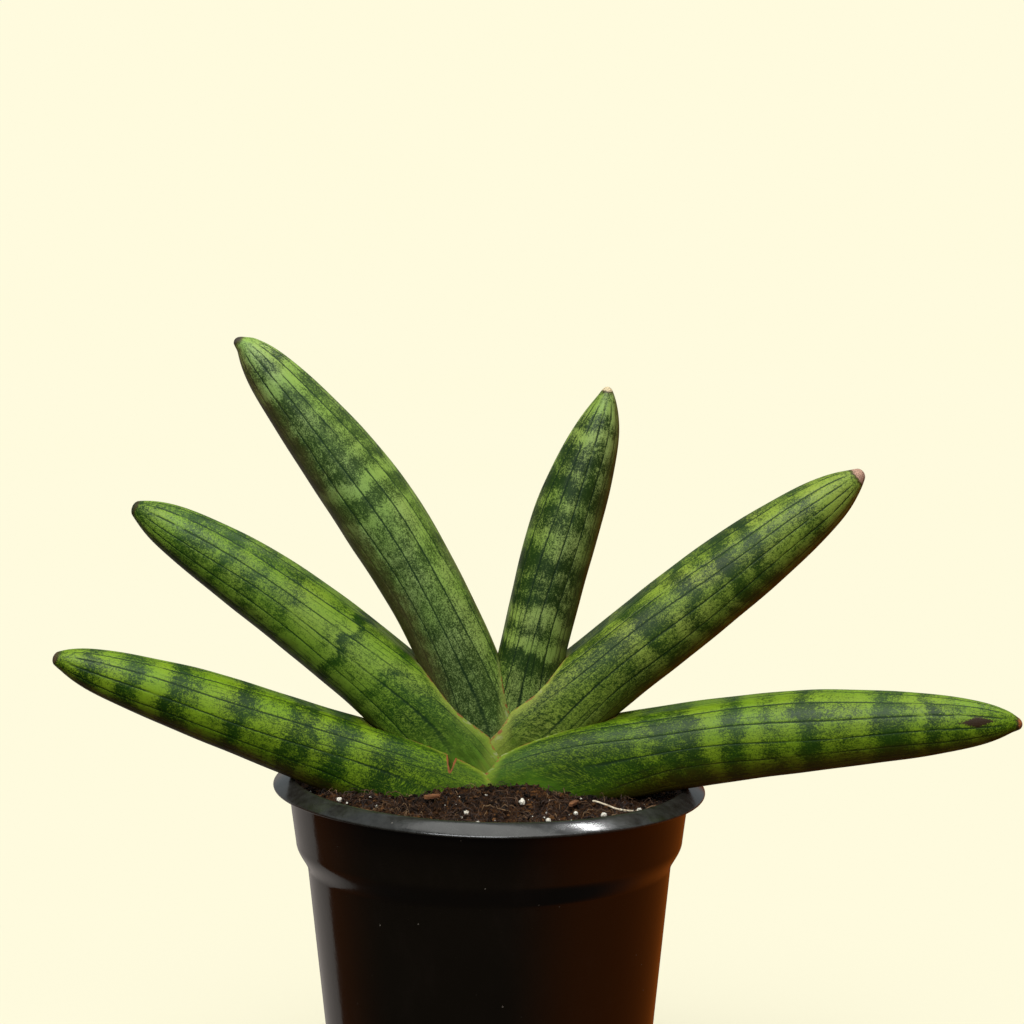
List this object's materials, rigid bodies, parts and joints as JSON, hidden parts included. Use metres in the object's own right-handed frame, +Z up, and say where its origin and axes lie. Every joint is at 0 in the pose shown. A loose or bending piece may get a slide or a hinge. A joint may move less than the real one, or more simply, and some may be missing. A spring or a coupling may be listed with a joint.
{
  "type": "potted snake plant",
  "caption": "Low fan of thick cylindrical banded leaves clasping one another at the base, growing in peat in a thin, glossy, near-black plastic nursery pot.",
  "frame": {"origin": "centre of the pot's flat bottom face, on the pot's axis", "axes": "+Z up along the pot's axis; +X along the fan's widest spread, to the right as seen from the front; +Y towards the back; the pictured side faces -Y"},
  "size_m": [0.2621, 0.12, 0.233],
  "materials": {
    "pot_plastic": "glossy near-black moulded plastic",
    "peat": "dark brown fibrous peat",
    "rhizome_skin": "orange-brown fleshy rootstock skin",
    "leaf_center_skin": "satin, fleshy, banded green with fine dark grooves",
    "leaf_upper_left_skin": "satin, fleshy, banded green with fine dark grooves",
    "leaf_mid_right_skin": "satin, fleshy, banded green with fine dark grooves",
    "leaf_mid_left_skin": "satin, fleshy, banded green with fine dark grooves",
    "leaf_far_right_skin": "satin, fleshy, banded green with fine dark grooves",
    "leaf_far_left_skin": "satin, fleshy, banded green with fine dark grooves",
    "perlite": "white porous grain",
    "bark": "rough tan bark",
    "dead_root": "dry pale root"
  },
  "bodies": {
    "root": {"pot": "pot_plastic", "soil": "peat", "rhizome": "rhizome_skin", "leaf_center": "leaf_center_skin", "leaf_upper_left": "leaf_upper_left_skin", "leaf_mid_right": "leaf_mid_right_skin", "leaf_mid_left": "leaf_mid_left_skin", "leaf_far_right": "leaf_far_right_skin", "leaf_far_left": "leaf_far_left_skin", "perlite_1": "perlite", "perlite_2": "perlite", "perlite_3": "perlite", "perlite_4": "perlite", "perlite_5": "perlite", "perlite_6": "perlite", "perlite_7": "perlite", "perlite_8": "perlite", "perlite_9": "perlite", "bark_1": "bark", "bark_2": "bark", "bark_3": "bark", "bark_4": "bark", "rootlet": "dead_root"}
  },
  "joints": []
}
